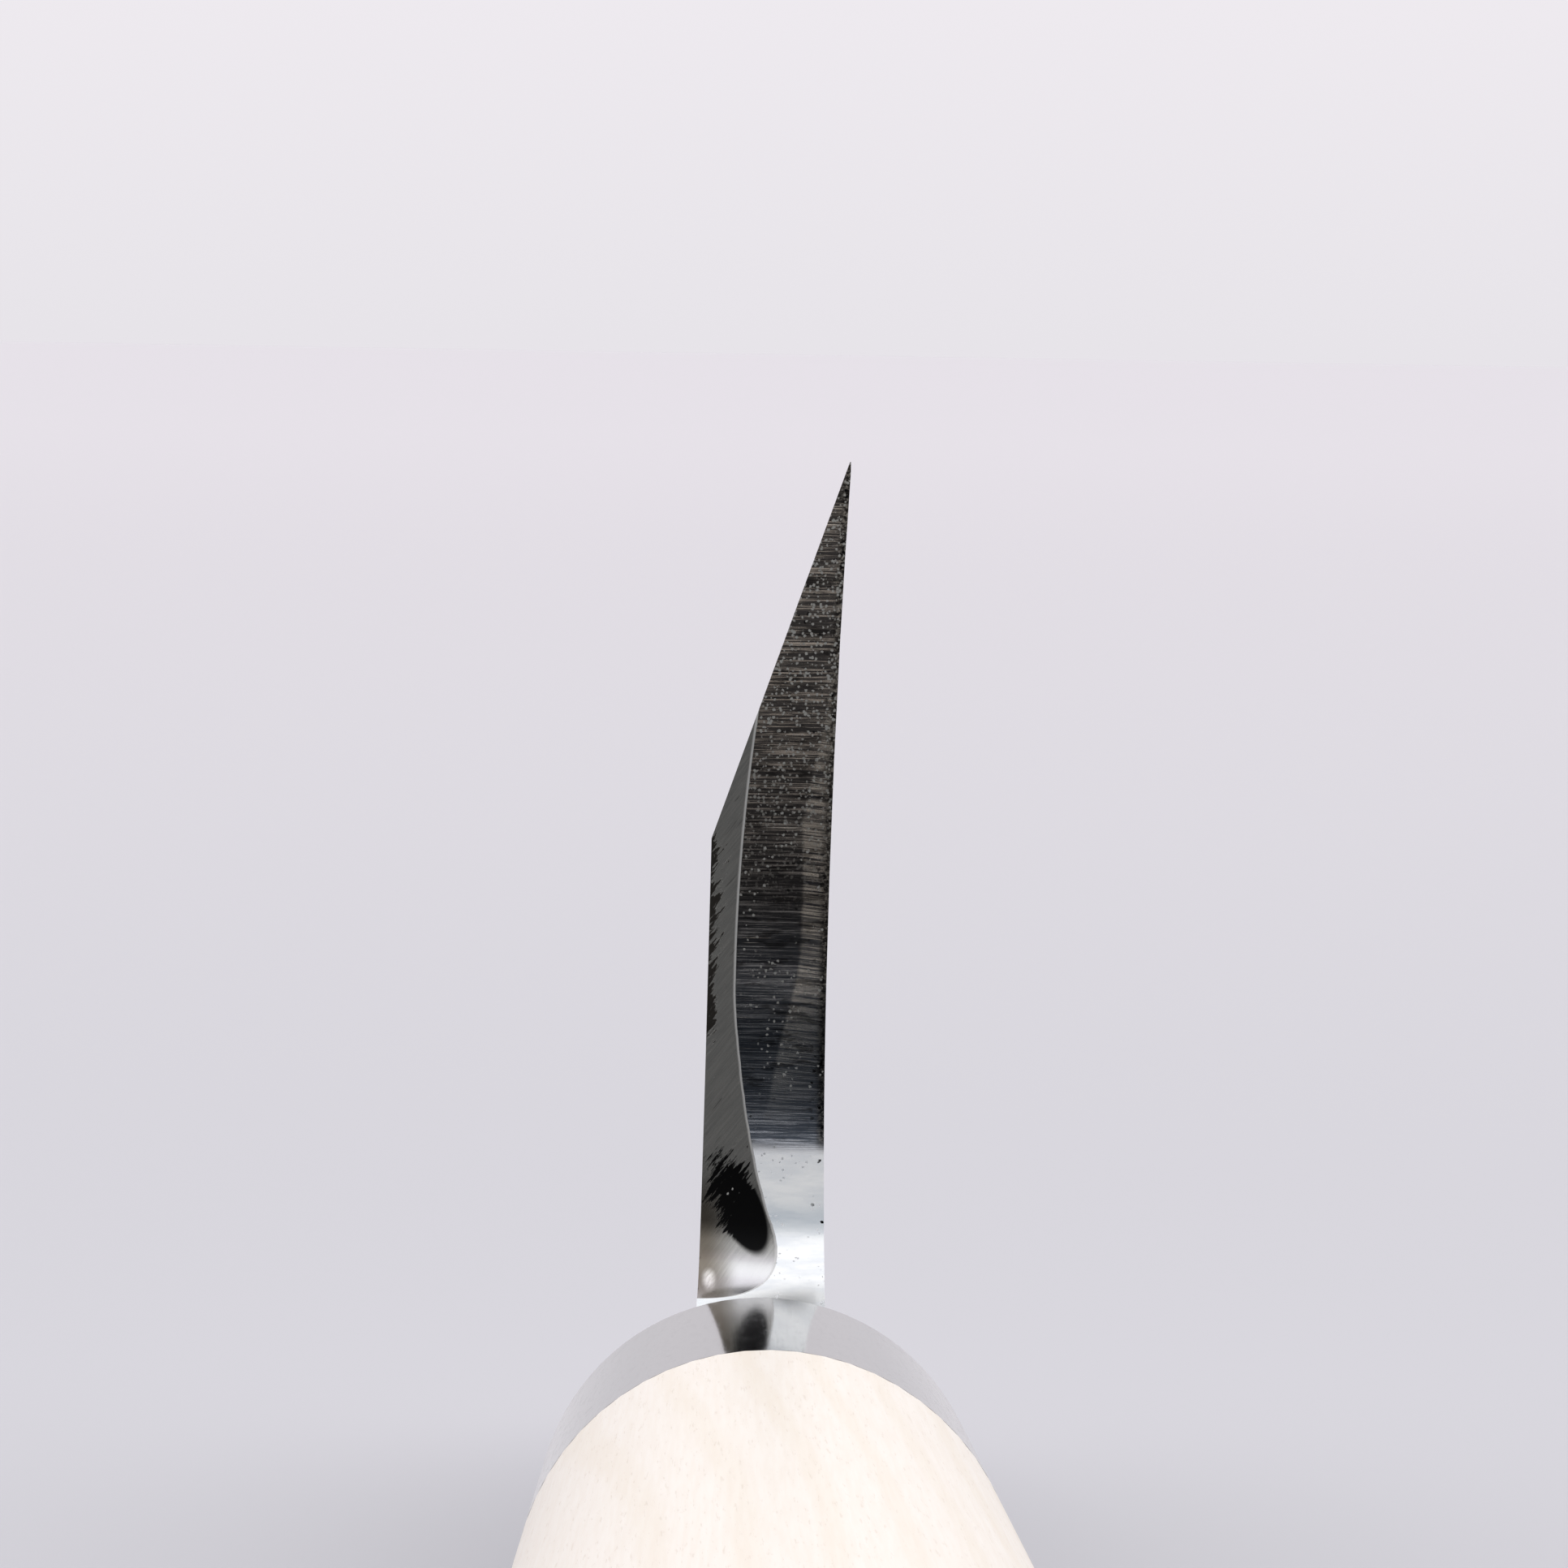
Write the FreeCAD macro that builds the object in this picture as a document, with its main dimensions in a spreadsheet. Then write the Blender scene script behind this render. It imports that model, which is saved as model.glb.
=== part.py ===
import FreeCAD, Part
import math
import os

import Sketcher

# A skiving knife in the Japanese single-bevel pattern: one forged steel blade whose hidden tang is bedded in
# an oval wooden handle, with a black collar round the handle's mouth.
#
# Frame, in millimetres: the origin is the centre of the handle's butt, +Y runs along the handle to the tip,
# +Z is the side of the cutting edge and +X is the hollow-ground flat side of the blade. Angles are in
# degrees.

SIZES = [
    # handle and collar
    ("handle_length", 118.0),
    ("mouth_width", 16.0),
    ("mouth_height", 19.2),
    ("butt_width", 21.3),
    ("butt_height", 24.5),
    ("butt_rounding", 1.2),
    ("collar_length", 24.0),
    ("collar_wall", 2.1),
    ("collar_rounding", 0.7),
    ("tenon_recess", 0.5),
    # blade, seen from the side
    ("blade_length", 135.0),
    ("heel_height", 45.52),
    ("spine_drop", 6.0),
    ("spine_straight", 66.0),
    ("tip_rise", 7.0),
    ("edge_straight", 70.0),
    ("edge_slope", 4.0),
    ("heel_reach", 9.7),
    ("heel_root_height", 26.0),
    ("heel_hollow_radius", 100.0),
    ("heel_root_radius", 13.6),
    ("shoulder_gap", 0.8),
    # blade, in section
    ("blade_offset", 0.12),
    ("blade_thickness", 5.42),
    ("bevel_angle", 19.3),
    ("edge_width", 0.04),
    ("taper_to_tip", 1.1),
    ("taper_to_edge", 0.62),
    ("flat_hollow_radius", 430.0),
    ("flat_hollow_depth", 0.56),
    ("flat_hollow_tip_rim", 20.0),
    ("spine_easing", 0.35),
    # relief on the bevel-side corner of the heel
    ("relief_width", 1.1),
    ("relief_angle", 37.4),
    ("relief_root_drop", 0.95),
    ("relief_root_radius", 20.0),
    ("relief_end_drop", 11.0),
    ("relief_end_radius", 4.0),
    # tang and what holds it
    ("tang_length", 82.0),
    ("tang_height", 9.6),
    ("tang_end_height", 5.6),
    ("tang_thickness", 3.6),
    ("bedding_gap", 0.6),
    ("seal_depth", 1.2),
    # how far a cut starts outside the steel that it removes
    ("overcut", 12.0),
    ("edge_overcut", 1.0),
]

SIDE_VIEW = "YZ_Plane"
CROSS_VIEW = "XZ_Plane"
TOP_VIEW = "XY_Plane"
SKETCH_ORIGIN = (-1, 1)
START = 1
END = 2
CENTRE = 3
RIGHT_ANGLE = 90
# Every feature adds or removes more than this, in cubic millimetres.
LEAST_CHANGE = 1.0

doc = FreeCAD.newDocument("skiving_knife")
value = dict(SIZES)

# Places that several pieces share, as expressions of the sizes.
COLLAR_BACK = "(handle_length - collar_length)"
TENON_FRONT = "(handle_length - tenon_recess)"
SEAL_BACK = "(handle_length - tenon_recess - seal_depth)"
TANG_END = "(handle_length - tang_length)"
SHOULDER = "(handle_length + shoulder_gap)"
HEEL_ROOT = "(handle_length + shoulder_gap + heel_reach)"
HEEL_ROOT_UP = "(heel_root_height - spine_drop)"
BLADE_FLAT = "(blade_offset + blade_thickness / 2)"
BLADE_BACK = "(blade_offset - blade_thickness / 2)"
ROOT_RISE = "sqrt(heel_root_radius^2 - (heel_root_radius - heel_reach)^2)"
NECK_MIDDLE = "((heel_root_height - %s) / 2 - spine_drop)" % ROOT_RISE
BEDDED_THICKNESS = "(tang_thickness + 2 * bedding_gap)"


def make_sheet():
    sheet = doc.addObject("Spreadsheet::Sheet", "Sizes")
    for row, (alias, number) in enumerate(SIZES, start=1):
        sheet.set("A%d" % row, alias)
        sheet.set("B%d" % row, str(number))
        sheet.setAlias("B%d" % row, alias)
    doc.recompute()


def bound(text):
    """The expression with each size replaced by its cell in the sheet."""
    result = ""
    word = ""
    for letter in text + " ":
        if letter.isalnum() or letter == "_":
            word += letter
            continue
        result += "Sizes." + word if word in value else word
        result += letter
        word = ""
    return result.strip()


def bind(item, name, text):
    item.setExpression(name, bound(text))


def make_body(label):
    body = doc.addObject("PartDesign::Body", label)
    body.Label = label
    return body


def place(across, along, up, turn="rotation(vector(0; 0; 1); 0)"):
    return "placement(vector(%s; %s; %s); %s)" % (across, along, up, turn)


class Outline:
    """A sketch on one of its body's own planes, whose dimensions follow the sheet."""

    def __init__(self, body, name, plane, offset=None):
        self.sketch = body.newObject("Sketcher::SketchObject", name)
        support = next(item for item in body.Origin.OriginFeatures if item.Role == plane)
        self.sketch.AttachmentSupport = [(support, "")]
        self.sketch.MapMode = "FlatFace"
        if offset:
            bind(self.sketch, "AttachmentOffset", offset)

    def line(self, start, end):
        edge = Part.LineSegment(FreeCAD.Vector(*start), FreeCAD.Vector(*end))
        return self.sketch.addGeometry(edge, False)

    def arc(self, centre, radius, first, last):
        circle = Part.Circle(FreeCAD.Vector(*centre), FreeCAD.Vector(0, 0, 1), radius)
        edge = Part.ArcOfCircle(circle, math.radians(first), math.radians(last))
        return self.sketch.addGeometry(edge, False)

    def rule(self, kind, *where):
        return self.sketch.addConstraint(Sketcher.Constraint(kind, *where))

    def size(self, kind, *where_and_text):
        *where, text = where_and_text
        index = self.rule(kind, *where, float(number(text)))
        bind(self.sketch, "Constraints[%d]" % index, text)

    def measure(self, name, drawn, kind, *where):
        """A named dimension that reads the outline and doesn't drive it."""
        index = self.rule(kind, *where, drawn)
        self.sketch.setDriving(index, False)
        self.sketch.renameConstraint(index, name)

    def fix(self, edge, end, along, up):
        self.size("DistanceX", *SKETCH_ORIGIN, edge, end, along)
        self.size("DistanceY", *SKETCH_ORIGIN, edge, end, up)

    def polygon(self, corners):
        """A closed outline whose corners are pairs of expressions."""
        drawn = [(float(number(x)), float(number(y))) for x, y in corners]
        count = len(corners)
        edges = [self.line(drawn[i], drawn[(i + 1) % count]) for i in range(count)]
        for i, (x, y) in enumerate(corners):
            self.rule("Coincident", edges[i - 1], END, edges[i], START)
            self.fix(edges[i], START, x, y)


def number(text):
    """What an expression comes to now, to draw an outline near its final shape."""
    return doc.Sizes.evalExpression(bound(text))


def add(body, kind, name, **settings):
    feature = body.newObject("PartDesign::" + kind, name)
    for key, setting in settings.items():
        if key in ("Length", "Angle", "Size", "Radius", "Height", "AttachmentOffset"):
            bind(feature, key, setting)
        else:
            setattr(feature, key, setting)
    doc.recompute()
    return feature


def edges_where(shape, test):
    """Names of the edges whose middle point and length pass the test."""
    names = []
    for i, edge in enumerate(shape.Edges, start=1):
        middle = edge.valueAt((edge.FirstParameter + edge.LastParameter) / 2)
        if test(middle, edge.Length):
            names.append("Edge%d" % i)
    return names


def oval(body, name, along, width, height):
    """Two half circles joined by short straight sides, across the handle."""
    outline = Outline(body, name, CROSS_VIEW, place("0", "0", "-(%s)" % along))
    radius = number(width) / 2
    rise = number(height) / 2 - radius
    top = outline.arc((0, rise), radius, 0, 180)
    left = outline.line((-radius, rise), (-radius, -rise))
    bottom = outline.arc((0, -rise), radius, 180, 360)
    right = outline.line((radius, -rise), (radius, rise))
    outline.rule("Tangent", top, END, left, START)
    outline.rule("Tangent", left, END, bottom, START)
    outline.rule("Tangent", bottom, END, right, START)
    outline.rule("Tangent", right, END, top, START)
    outline.rule("Vertical", left)
    outline.rule("Symmetric", top, CENTRE, bottom, CENTRE, *SKETCH_ORIGIN)
    outline.size("Radius", top, "(%s) / 2" % width)
    outline.size("DistanceY", bottom, CENTRE, top, CENTRE, "(%s) - (%s)" % (height, width))
    return outline.sketch


def handle_oval(body, name, along):
    """The handle's outer section, which narrows evenly from the butt to the mouth."""
    share = "(%s) / handle_length" % along
    width = "butt_width + (mouth_width - butt_width) * %s" % share
    height = "butt_height + (mouth_height - butt_height) * %s" % share
    return oval(body, name, along, width, height)


def tenon_oval(body, name, along):
    return oval(body, name, along, "mouth_width - 2 * collar_wall", "mouth_height - 2 * collar_wall")


def tang_block(body, kind, name, back, front, grow, thickness):
    """A length of the tang's tapering bar, or of the room round it, as a pad or a pocket."""
    taper = "(tang_height - tang_end_height) / (tang_length + shoulder_gap)"
    outline = Outline(body, name + "Outline", SIDE_VIEW, place("0", "0", "blade_offset"))
    corners = []
    for along, side in ((back, "-"), (front, "-"), (front, "+"), (back, "+")):
        half = "((tang_end_height + (%s - %s) * %s) / 2 + %s)" % (along, TANG_END, taper, grow)
        corners.append((along, "%s %s %s" % (NECK_MIDDLE, side, half)))
    outline.polygon(corners)
    return add(body, kind, name, Profile=outline.sketch, Midplane=True, Length=thickness)


def blade_profile(body):
    """The blade from the side: spine, belly, straight edge, hollow heel and the root above the neck."""
    outline = Outline(body, "BladeProfile", SIDE_VIEW, place("0", "0", BLADE_BACK))
    shoulder = number(SHOULDER)
    spine_up = -value["spine_drop"]
    root_at = number(HEEL_ROOT)
    root_up = number(HEEL_ROOT_UP)
    root_radius = value["heel_root_radius"]
    hollow_radius = value["heel_hollow_radius"]
    slope = math.radians(value["edge_slope"])
    heel_up = value["heel_height"] - value["spine_drop"]
    heel_turn = math.asin((heel_up - root_up) / hollow_radius)
    heel_at = root_at - hollow_radius * (1 - math.cos(heel_turn))
    spine_end = shoulder + value["spine_straight"]
    tip_at = heel_at + value["blade_length"]
    tip_up = spine_up + value["tip_rise"]
    belly_at = heel_at + value["edge_straight"] * math.cos(slope)
    belly_up = heel_up - value["edge_straight"] * math.sin(slope)
    reach = tip_at - spine_end
    spine_radius = (reach**2 + value["tip_rise"] ** 2) / (2 * value["tip_rise"])
    chord = math.hypot(tip_at - belly_at, tip_up - belly_up)
    inward = (belly_up - tip_up) * math.cos(slope) - (tip_at - belly_at) * math.sin(slope)
    belly_radius = chord**2 / (2 * inward)
    belly_turn = math.degrees(2 * math.asin(chord / (2 * belly_radius)))
    belly_start = RIGHT_ANGLE - value["edge_slope"]
    belly_centre = (belly_at - belly_radius * math.sin(slope), belly_up - belly_radius * math.cos(slope))
    spine_turn = math.degrees(math.asin(reach / spine_radius))
    neck_up = root_up - number(ROOT_RISE)
    root_turn = math.degrees(math.acos(1 - value["heel_reach"] / root_radius))

    spine = outline.line((shoulder, spine_up), (spine_end, spine_up))
    spine_curve = outline.arc((spine_end, spine_up + spine_radius), spine_radius, 270, 270 + spine_turn)
    belly = outline.arc(belly_centre, belly_radius, belly_start - belly_turn, belly_start)
    edge = outline.line((belly_at, belly_up), (heel_at, heel_up))
    heel = outline.arc((root_at - hollow_radius, root_up), hollow_radius, 0, math.degrees(heel_turn))
    root = outline.arc((root_at - root_radius, root_up), root_radius, 360 - root_turn, 360)
    end = outline.line((shoulder, neck_up), (shoulder, spine_up))

    outline.rule("Tangent", spine, END, spine_curve, START)
    outline.rule("Coincident", spine_curve, END, belly, START)
    outline.rule("Tangent", belly, END, edge, START)
    outline.rule("Coincident", edge, END, heel, END)
    outline.rule("Tangent", root, END, heel, START)
    outline.rule("Coincident", root, START, end, START)
    outline.rule("Coincident", end, END, spine, START)
    outline.rule("Horizontal", spine)
    outline.rule("Vertical", end)
    outline.rule("Horizontal", heel, CENTRE, heel, START)
    outline.fix(spine, START, SHOULDER, "-spine_drop")
    outline.size("DistanceX", spine, START, spine, END, "spine_straight")
    outline.fix(heel, START, HEEL_ROOT, HEEL_ROOT_UP)
    outline.size("Radius", heel, "heel_hollow_radius")
    outline.size("Radius", root, "heel_root_radius")
    outline.size("DistanceY", spine, START, edge, END, "heel_height")
    outline.size("DistanceX", edge, END, belly, START, "blade_length")
    outline.size("DistanceY", spine, START, belly, START, "tip_rise")
    outline.size("DistanceX", edge, END, edge, START, "edge_straight * cos(edge_slope)")
    outline.size("DistanceY", edge, START, edge, END, "edge_straight * sin(edge_slope)")
    outline.measure("belly_radius", belly_radius, "Radius", belly)
    outline.measure("belly_along", belly_centre[0], "DistanceX", *SKETCH_ORIGIN, belly, CENTRE)
    outline.measure("belly_up", belly_centre[1], "DistanceY", *SKETCH_ORIGIN, belly, CENTRE)
    doc.recompute()
    return outline.sketch


def taper_blade(body):
    """Grinds the bevel side to one plane, so that the blade thins towards the tip and the edge."""
    tilt = "rotation(vector(0; 1; 0); taper_to_edge)"
    outline = Outline(body, "TaperOutline", TOP_VIEW, place(BLADE_BACK, SHOULDER, "-spine_drop", tilt))
    far = "(heel_reach + blade_length + overcut)"
    outline.polygon(
        [
            ("-overcut", "-overcut"),
            ("-overcut * tan(taper_to_tip)", "-overcut"),
            ("%s * tan(taper_to_tip)" % far, far),
            ("-overcut", far),
        ]
    )
    add(body, "Pocket", "Taper", Profile=outline.sketch, Midplane=True, Length="2 * (heel_height + overcut)")


def ease_spine(body):
    low = -value["spine_drop"] + value["tip_rise"]
    least = value["spine_straight"] / 2
    names = edges_where(body.Tip.Shape, lambda middle, length: length > least and middle.z < low)
    add(body, "Chamfer", "SpineEasing", Base=(body.Tip, names), Size="spine_easing")


def grind_bevel(body):
    """One section, run straight along the edge and then turned round the belly's centre."""
    centre_up = "BladeProfile.Constraints.belly_up / 1mm"
    centre_along = "-BladeProfile.Constraints.belly_along / 1mm"
    tilt = "rotation(vector(1; 0; 0); -edge_slope)"
    outline = Outline(body, "BevelSection", CROSS_VIEW, place("0", centre_up, centre_along, tilt))
    radius = "BladeProfile.Constraints.belly_radius / 1mm"
    width = "(blade_thickness + edge_overcut)"
    corner = "(%s - edge_width)" % BLADE_FLAT
    left = "%s - %s" % (corner, width)
    bottom = "%s - %s / tan(bevel_angle)" % (radius, width)
    top = "%s + edge_overcut" % radius
    right = "%s + edge_overcut * tan(bevel_angle)" % corner
    outline.polygon([(left, bottom), (right, top), (left, top)])
    add(body, "Groove", "BellyBevel", Profile=outline.sketch, ReferenceAxis=(outline.sketch, ["H_Axis"]),
        Reversed=True, Angle="90")
    add(body, "Pocket", "StraightBevel", Profile=outline.sketch, Reversed=True,
        Length="edge_straight + overcut")


def hollow_flat(body):
    """A shallow lengthwise hollow in the flat side, deepest at the heel, that leaves a rim all round."""
    drop = "tan(edge_slope / 2)"
    fade = "flat_hollow_depth / (blade_length - flat_hollow_tip_rim)"
    turn = "rotation(-atan(%s); 0deg; -90deg - atan(%s))" % (fade, drop)
    across = "%s + flat_hollow_radius - flat_hollow_depth - overcut * %s" % (BLADE_FLAT, fade)
    along = "%s - overcut" % HEEL_ROOT
    up = "heel_height / 2 - spine_drop + overcut * %s" % drop
    support = next(item for item in body.Origin.OriginFeatures if item.Role == TOP_VIEW)
    add(body, "SubtractiveCylinder", "FlatHollow", AttachmentSupport=[(support, "")], MapMode="FlatFace",
        AttachmentOffset=place(across, along, up, turn), Radius="flat_hollow_radius",
        Height="blade_length + 2 * overcut")


def relieve_heel(body):
    """A slanting face on the bevel-side corner of the heel, which runs out in two curves above the neck."""
    corner = "(%s + heel_reach * tan(taper_to_tip) + heel_root_height * tan(taper_to_edge))" % BLADE_BACK
    turn = "rotation(vector(0; 1; 0); -90 - relief_angle)"
    offset = place("%s + relief_width" % corner, HEEL_ROOT_UP, "-" + HEEL_ROOT, turn)
    outline = Outline(body, "ReliefOutline", CROSS_VIEW, offset)
    top = "heel_height - heel_root_height + overcut"
    out = "overcut + relief_root_radius"
    root_radius = value["relief_root_radius"]
    end_radius = value["relief_end_radius"]
    root_up = -value["relief_root_drop"]
    floor_up = -value["relief_end_drop"]
    end_up = floor_up + end_radius
    root_turn = math.asin((root_up - end_up) / (root_radius - end_radius))
    end_at = root_radius - (root_radius - end_radius) * math.cos(root_turn)
    root_last = 180 + math.degrees(root_turn)
    top_up = number(top)
    out_at = number(out)
    face = outline.line((0, top_up), (0, root_up))
    root = outline.arc((root_radius, root_up), root_radius, 180, root_last)
    end = outline.arc((end_at, end_up), end_radius, root_last, 270)
    base = outline.line((end_at, floor_up), (out_at, floor_up))
    side = outline.line((out_at, floor_up), (out_at, top_up))
    lid = outline.line((out_at, top_up), (0, top_up))
    outline.rule("Tangent", face, END, root, START)
    outline.rule("Tangent", root, END, end, START)
    outline.rule("Tangent", end, END, base, START)
    outline.rule("Coincident", base, END, side, START)
    outline.rule("Coincident", side, END, lid, START)
    outline.rule("Coincident", lid, END, face, START)
    for edge in (base, lid):
        outline.rule("Horizontal", edge)
    for edge in (face, side):
        outline.rule("Vertical", edge)
    outline.fix(face, START, "0", top)
    outline.size("DistanceY", face, END, *SKETCH_ORIGIN, "relief_root_drop")
    outline.size("Radius", root, "relief_root_radius")
    outline.size("Radius", end, "relief_end_radius")
    outline.fix(base, END, out, "-relief_end_drop")
    add(body, "Pocket", "HeelRelief", Profile=outline.sketch, Midplane=True, Length="2 * overcut")


def make_blade():
    body = make_body("blade")
    profile = blade_profile(body)
    add(body, "Pad", "Blank", Profile=profile, Length="blade_thickness")
    taper_blade(body)
    ease_spine(body)
    grind_bevel(body)
    relieve_heel(body)
    hollow_flat(body)
    inside = "%s + shoulder_gap" % SHOULDER
    tang_block(body, "Pad", "Tang", TANG_END, inside, "0", "tang_thickness")
    return body


def make_handle():
    body = make_body("handle_body")
    butt = handle_oval(body, "ButtOval", "0")
    neck = handle_oval(body, "CollarOval", COLLAR_BACK)
    add(body, "AdditiveLoft", "Grip", Profile=butt, Sections=[neck], Ruled=True)
    tenon = tenon_oval(body, "TenonOval", COLLAR_BACK)
    add(body, "Pad", "Tenon", Profile=tenon, Reversed=True, Length="collar_length - tenon_recess")
    names = edges_where(body.Tip.Shape, lambda middle, length: abs(middle.y) < value["butt_rounding"])
    add(body, "Fillet", "ButtRounding", Base=(body.Tip, names), Radius="butt_rounding")
    tang_block(body, "Pocket", "Slot", "%s - bedding_gap" % TANG_END, "handle_length", "bedding_gap",
               BEDDED_THICKNESS)
    return body


def make_collar():
    body = make_body("ferrule")
    back = handle_oval(body, "BackOval", COLLAR_BACK)
    mouth = handle_oval(body, "MouthOval", "handle_length")
    add(body, "AdditiveLoft", "Shell", Profile=back, Sections=[mouth], Ruled=True)
    bore = tenon_oval(body, "BoreOval", COLLAR_BACK)
    add(body, "Pocket", "Bore", Profile=bore, Midplane=True, Length="2 * handle_length")
    reach = value["mouth_width"] / 2 - value["collar_wall"] / 2
    front = value["handle_length"] - value["collar_rounding"] / 2
    rim = value["mouth_height"] - value["mouth_width"]

    def on_outer_rim(middle, length):
        outside = math.hypot(middle.x, max(abs(middle.z) - rim / 2, 0)) > reach
        return middle.y > front and outside

    names = edges_where(body.Tip.Shape, on_outer_rim)
    add(body, "Fillet", "MouthRounding", Base=(body.Tip, names), Radius="collar_rounding")
    return body


def make_bedding():
    body = make_body("tang_bedding")
    back = "%s - bedding_gap" % TANG_END
    tang_block(body, "Pad", "Filling", back, SEAL_BACK, "bedding_gap", BEDDED_THICKNESS)
    tang_block(body, "Pocket", "TangRoom", TANG_END, TENON_FRONT, "0", "tang_thickness")
    return body


def make_seal():
    body = make_body("slot_seal")
    tang_block(body, "Pad", "Filling", SEAL_BACK, TENON_FRONT, "bedding_gap", BEDDED_THICKNESS)
    behind = "%s - seal_depth" % SEAL_BACK
    tang_block(body, "Pocket", "TangRoom", behind, "handle_length", "0", "tang_thickness")
    return body


def check(bodies):
    for item in doc.Objects:
        if "Invalid" in item.State or "Error" in item.State:
            raise RuntimeError("%s: %s" % (item.Name, item.State))
    for body in bodies:
        shape = body.Shape
        if shape.isNull() or not shape.isValid() or len(shape.Solids) != 1:
            raise RuntimeError("%s is not one valid solid" % body.Label)
        volume = 0.0
        for feature in body.Group:
            if not hasattr(feature, "AddSubShape"):
                continue
            if abs(feature.Shape.Volume - volume) < LEAST_CHANGE:
                raise RuntimeError("%s: %s changes nothing" % (body.Label, feature.Label))
            volume = feature.Shape.Volume


make_sheet()
BODIES = [make_blade(), make_handle(), make_collar(), make_bedding(), make_seal()]
doc.recompute()
check(BODIES)
os.makedirs("parts", exist_ok=True)
for made in BODIES:
    made.Shape.exportStep("parts/%s.step" % made.Label)
    print("%-14s %9.1f mm3" % (made.Label, made.Shape.Volume))
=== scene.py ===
import math

import bpy
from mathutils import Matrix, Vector


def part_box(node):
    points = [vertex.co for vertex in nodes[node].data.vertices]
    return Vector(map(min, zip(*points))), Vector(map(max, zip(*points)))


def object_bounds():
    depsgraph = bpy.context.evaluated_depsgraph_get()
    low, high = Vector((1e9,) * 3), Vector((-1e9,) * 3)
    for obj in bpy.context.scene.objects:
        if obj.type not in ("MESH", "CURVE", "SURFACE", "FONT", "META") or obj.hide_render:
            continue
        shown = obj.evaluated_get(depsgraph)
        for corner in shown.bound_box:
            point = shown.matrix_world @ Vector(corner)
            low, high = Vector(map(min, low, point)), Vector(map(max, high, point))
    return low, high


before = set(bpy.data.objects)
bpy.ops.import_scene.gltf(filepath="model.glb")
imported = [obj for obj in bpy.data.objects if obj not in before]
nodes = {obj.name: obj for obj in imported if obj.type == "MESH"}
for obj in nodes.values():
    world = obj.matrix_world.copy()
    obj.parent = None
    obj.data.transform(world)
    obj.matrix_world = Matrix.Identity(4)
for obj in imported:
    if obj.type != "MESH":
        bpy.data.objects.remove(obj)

CAD_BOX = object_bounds()

MM = 0.001
SCENE = bpy.context.scene

# Camera: behind the butt, a little above the handle, with a long lens and a slight roll.
LENS_MM = 224.3
SENSOR_MM = 36.0
CAMERA_AT = Vector((-4.36, -232.0, 43.75)) * MM
CAMERA_TURN_DEG = (87.43, -0.951, -0.744)
CAMERA_CLIP = (0.01, 200)

# Studio, in metres, watts and degrees. The cards are seen only by reflections: the azimuths and elevations
# that each spans, its brightness and its colour. Elevations past 90 are over the top.
FLOOR = CAD_BOX[0][2]
FLOOR_HALF = 60.0
LAMP_AT = Vector((0.2, -0.5, 1.6))
LAMP_AIM = Vector((0.0, 0.1, 0.0))
LAMP_SIDE = 1.6
LAMP_WATTS = 14
LAMP_COLOUR = (1.0, 0.99, 0.97)
SKY_CHANGES_BELOW = 0.035
CARD_DISTANCE = 6.0
CARD_COLUMNS = 12
CARD_ROWS = 8
WHITE = (1.0, 1.0, 1.0)
BLUISH = (0.86, 0.93, 1.0)
CARDS = {
    "dark_behind": ((-45, 45), (-16, 44), 0.05, WHITE),
    "grey_left": ((-87, -45), (-16, 24), 0.14, WHITE),
    "floor_behind": ((-87, 45), (-88, -16), 0.42, WHITE),
    "dark_left": ((-87, -45), (24, 46), 0.03, WHITE),
    "sweep_left": ((-93, -87), (-88, 46), 0.42, WHITE),
    "wall_left": ((-140, -93), (-88, 46), 0.7, WHITE),
    "wall_right": ((45, 84), (-88, 46), 0.45, WHITE),
    "sweep_right": ((96, 140), (-88, 46), 0.5, WHITE),
    "bright_above": ((-110, 60), (46, 67), 0.64, WHITE),
    "blue_band": ((-110, 60), (67, 76), 0.5, BLUISH),
    "bright_top": ((-110, 60), (76, 130), 1.15, WHITE),
}

# Places on the knife, in millimetres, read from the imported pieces.
BLADE_LOW, BLADE_HIGH = (Vector(corner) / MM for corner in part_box("blade"))
MOUTH = (Vector(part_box("ferrule")[1]) / MM).y
HEEL_TOP = BLADE_HIGH.z
SPINE = BLADE_LOW.z
FLAT = BLADE_HIGH.x
BACK = BLADE_LOW.x

# The paper floor's painted shading: darkest within one distance of the butt and palest past the other, in
# millimetres.
FLOOR_DARK_WITHIN = 320.0
FLOOR_PALE_FROM = 6300.0

# The shape of the blade, in millimetres and degrees: the heel's end is a wide hollow above its root and a
# tight curve below it, and the relief beside it ends in two curves.
HEEL_AT = MOUTH + 10.5
ROOT_AT = SPINE + 26.0
HOLLOW_RADIUS = 100.0
ROOT_RADIUS = 13.6
RELIEF_TURN = math.radians(37.4)
RELIEF_ROOT_AT = ROOT_AT - 0.95
RELIEF_ROOT_RADIUS = 20.0
RELIEF_END_AT = ROOT_AT - 7.0
RELIEF_END_RADIUS = 4.0
FLAT_HOLLOW_DEPTH = 0.56
FLAT_HOLLOW_RADIUS = 430.0
HEEL_MIDDLE = (HEEL_TOP + SPINE) / 2
BEVEL_SLOPE = math.tan(math.radians(19.3))
STEEPEST_LEAN = 0.99
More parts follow.
